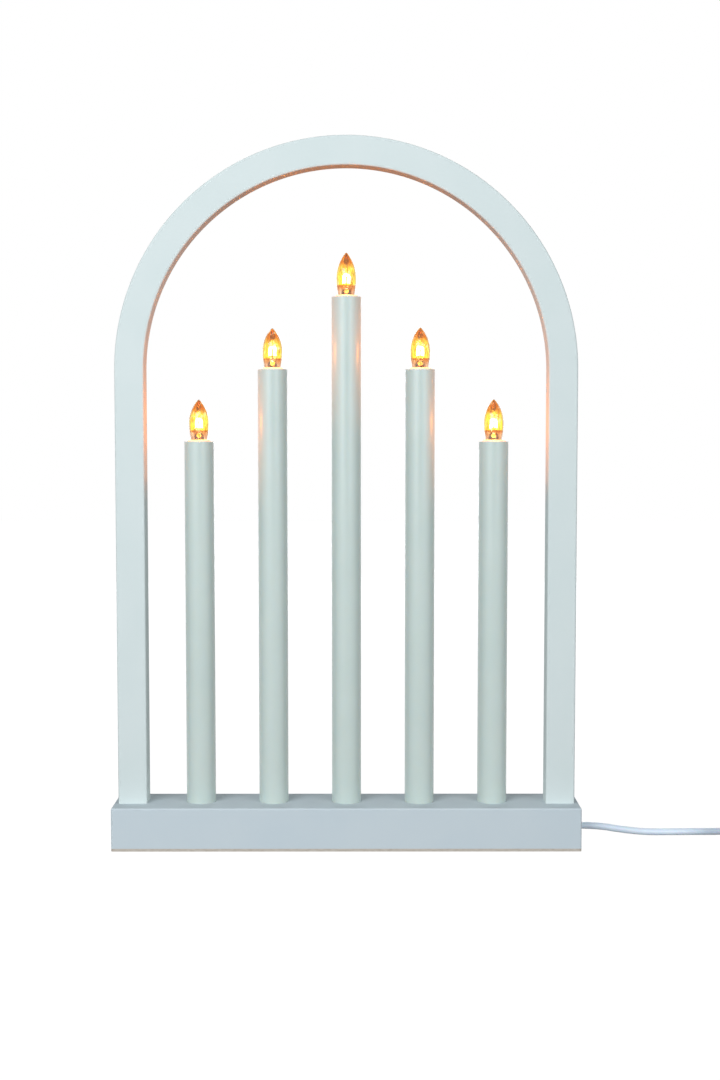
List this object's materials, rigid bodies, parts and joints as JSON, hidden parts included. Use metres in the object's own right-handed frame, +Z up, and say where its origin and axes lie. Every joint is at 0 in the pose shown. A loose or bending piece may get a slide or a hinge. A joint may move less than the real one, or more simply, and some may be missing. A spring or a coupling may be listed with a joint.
{
  "type": "electric candle arch",
  "caption": "Electric advent candle arch: white wooden base and round arch, stepped candle tubes with clear screw lamps, mains cord and plug.",
  "frame": {"origin": "middle of the base's underside, on the surface that it stands on", "axes": "+X along the base to the cord's side, +Y to the back, +Z up"},
  "size_m": [0.5446, 0.0844, 0.4983],
  "materials": {
    "painted_wood": "satin paint",
    "hardboard": "raw",
    "white_plastic": "satin",
    "holder_plastic": "satin",
    "brass": "rolled",
    "foot_glass": "gloss",
    "lamp_glass": "clear",
    "filament_wire": "glowing",
    "cord_sheath": "satin",
    "wire_sheath": "satin",
    "terminal_plastic": "satin",
    "plug_plastic": "satin",
    "screw_steel": "zinc plated",
    "pin_metal": "nickel plated",
    "tie_plastic": "satin"
  },
  "bodies": {
    "base": {"base_block": "painted_wood", "bottom_cover": "hardboard", "arch_frame": "painted_wood", "cover_screws": "screw_steel", "arch_screws": "screw_steel", "clip_screw": "screw_steel", "link_wires": "wire_sheath", "feed_wires": "wire_sheath", "terminal_block": "terminal_plastic", "terminal_sleeves": "brass", "inner_cord": "cord_sheath", "cord_clip": "terminal_plastic", "mains_cord": "cord_sheath", "cord_coil": "cord_sheath", "plug_lead": "cord_sheath", "coil_tie": "tie_plastic", "plug_body": "plug_plastic", "plug_pins": "pin_metal", "candle_tube_1": "white_plastic", "lamp_holder_1": "holder_plastic", "screw_shell_1": "brass", "centre_contact_1": "brass", "candle_tube_2": "white_plastic", "lamp_holder_2": "holder_plastic", "screw_shell_2": "brass", "centre_contact_2": "brass", "candle_tube_3": "white_plastic", "lamp_holder_3": "holder_plastic", "screw_shell_3": "brass", "centre_contact_3": "brass", "candle_tube_4": "white_plastic", "lamp_holder_4": "holder_plastic", "screw_shell_4": "brass", "centre_contact_4": "brass", "candle_tube_5": "white_plastic", "lamp_holder_5": "holder_plastic", "screw_shell_5": "brass", "centre_contact_5": "brass"},
    "lamp_foot_1": {"lamp_foot_1": "foot_glass"},
    "lamp_1": {"lamp_cap_1": "brass", "lamp_glass_1": "lamp_glass", "filament_1": "filament_wire"},
    "lamp_foot_2": {"lamp_foot_2": "foot_glass"},
    "lamp_2": {"lamp_cap_2": "brass", "lamp_glass_2": "lamp_glass", "filament_2": "filament_wire"},
    "lamp_foot_3": {"lamp_foot_3": "foot_glass"},
    "lamp_3": {"lamp_cap_3": "brass", "lamp_glass_3": "lamp_glass", "filament_3": "filament_wire"},
    "lamp_foot_4": {"lamp_foot_4": "foot_glass"},
    "lamp_4": {"lamp_cap_4": "brass", "lamp_glass_4": "lamp_glass", "filament_4": "filament_wire"},
    "lamp_foot_5": {"lamp_foot_5": "foot_glass"},
    "lamp_5": {"lamp_cap_5": "brass", "lamp_glass_5": "lamp_glass", "filament_5": "filament_wire"}
  },
  "joints": [
    {"name": "lamp_1_rise", "type": "slide", "parent": "base", "child": "lamp_foot_1", "axis": [0, 0, 1], "range_m": [0, 0.00635]},
    {"name": "lamp_1_turn", "type": "hinge", "parent": "lamp_foot_1", "child": "lamp_1", "pos_m": [-0.1036, 0, 0.287], "axis": [0, 0, 1], "range_deg": [0, 1260]},
    {"name": "lamp_2_rise", "type": "slide", "parent": "base", "child": "lamp_foot_2", "axis": [0, 0, 1], "range_m": [0, 0.00635]},
    {"name": "lamp_2_turn", "type": "hinge", "parent": "lamp_foot_2", "child": "lamp_2", "pos_m": [-0.0518, 0, 0.3374], "axis": [0, 0, 1], "range_deg": [0, 1260]},
    {"name": "lamp_3_rise", "type": "slide", "parent": "base", "child": "lamp_foot_3", "axis": [0, 0, 1], "range_m": [0, 0.00635]},
    {"name": "lamp_3_turn", "type": "hinge", "parent": "lamp_foot_3", "child": "lamp_3", "pos_m": [0, 0, 0.3878], "axis": [0, 0, 1], "range_deg": [0, 1260]},
    {"name": "lamp_4_rise", "type": "slide", "parent": "base", "child": "lamp_foot_4", "axis": [0, 0, 1], "range_m": [0, 0.00635]},
    {"name": "lamp_4_turn", "type": "hinge", "parent": "lamp_foot_4", "child": "lamp_4", "pos_m": [0.0518, 0, 0.3374], "axis": [0, 0, 1], "range_deg": [0, 1260]},
    {"name": "lamp_5_rise", "type": "slide", "parent": "base", "child": "lamp_foot_5", "axis": [0, 0, 1], "range_m": [0, 0.00635]},
    {"name": "lamp_5_turn", "type": "hinge", "parent": "lamp_foot_5", "child": "lamp_5", "pos_m": [0.1036, 0, 0.287], "axis": [0, 0, 1], "range_deg": [0, 1260]}
  ],
  "couplings": [
    {"joint": "lamp_1_rise", "follows": "lamp_1_turn", "m_per_rad": 0.00028871},
    {"joint": "lamp_2_rise", "follows": "lamp_2_turn", "m_per_rad": 0.00028871},
    {"joint": "lamp_3_rise", "follows": "lamp_3_turn", "m_per_rad": 0.00028871},
    {"joint": "lamp_4_rise", "follows": "lamp_4_turn", "m_per_rad": 0.00028871},
    {"joint": "lamp_5_rise", "follows": "lamp_5_turn", "m_per_rad": 0.00028871}
  ]
}
